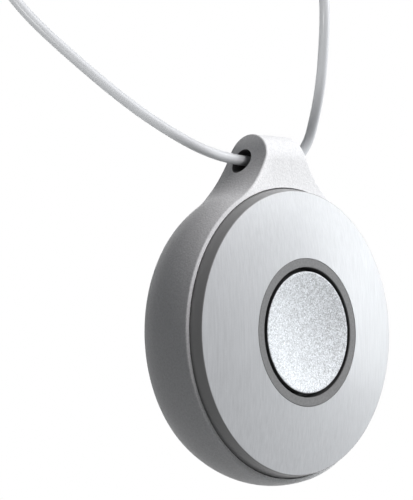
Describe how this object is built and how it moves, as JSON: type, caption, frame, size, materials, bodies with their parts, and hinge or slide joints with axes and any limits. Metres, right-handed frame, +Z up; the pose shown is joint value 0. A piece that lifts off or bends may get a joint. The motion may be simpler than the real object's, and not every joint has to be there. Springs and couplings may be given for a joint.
{
  "type": "wireless panic button",
  "caption": "Round wireless panic button pendant with a dished silver push button in a grey ring, worn on a cord through its lug.",
  "frame": {"origin": "on the disc's axis, in the flat back face of the rear cover", "axes": "-Y out of the front, where the button is; +Y out of the back; +Z up through the cord lug; +X to the viewer's right from the front"},
  "size_m": [0.0576, 0.0272, 0.1095],
  "materials": {
    "housing_plastic": "satin silver grey moulding",
    "cover_plastic": "satin silver grey moulding",
    "ring_plastic": "fine matt grey",
    "button_silver": "metallic silver lacquer",
    "black_rubber": "silicone",
    "dark_plastic": "moulded",
    "board_laminate": "solder mask",
    "spring_steel": "nickel plated",
    "chip_resin": "moulded resin",
    "shield_steel": "plated can",
    "ceramic": "fired ceramic",
    "aerial_wire": "enamelled copper",
    "cell_steel": "nickel plated can",
    "screw_steel": "zinc plated",
    "cord_vinyl": "smooth soft vinyl",
    "tie_rubber": "elastic band",
    "clasp_plastic": "moulded"
  },
  "bodies": {
    "cord": {"neck_cord": "cord_vinyl", "cord_coil": "cord_vinyl", "coil_tie": "tie_rubber", "clasp_socket": "clasp_plastic", "clasp_plug": "clasp_plastic"},
    "pendant": {"housing": "housing_plastic", "front_cover": "cover_plastic", "bezel_ring": "ring_plastic", "button_seal": "black_rubber", "seal_clamp": "dark_plastic", "circuit_board": "board_laminate", "switch_body": "dark_plastic", "switch_dome": "spring_steel", "controller_chip": "chip_resin", "radio_module": "shield_steel", "resonator": "shield_steel", "small_components": "ceramic", "aerial": "aerial_wire", "coin_cell": "cell_steel", "positive_clip": "spring_steel", "negative_contact": "spring_steel", "rear_seal": "black_rubber", "rear_cover": "cover_plastic", "rear_cover_screws": "screw_steel", "board_screws": "screw_steel"},
    "button": {"button_cap": "button_silver"},
    "switch_plunger": {"switch_stem": "dark_plastic"}
  },
  "joints": [
    {"name": "pendant_swing", "type": "hinge", "parent": "cord", "child": "pendant", "pos_m": [0, -0.005, 0.02435], "axis": [1, 0, 0], "range_deg": [-60, 60]},
    {"name": "button_press", "type": "slide", "parent": "pendant", "child": "button", "axis": [0, 1, 0], "range_m": [0, 0.0003], "stiffness_N_per_m": 1000, "springref_m": -0.0005, "deforming": ["button_seal"]},
    {"name": "switch_press", "type": "slide", "parent": "pendant", "child": "switch_plunger", "axis": [0, 1, 0], "range_m": [0, 0.0003], "deforming": ["switch_dome"]}
  ],
  "couplings": [
    {"joint": "switch_press", "follows": "button_press", "ratio": 1}
  ]
}
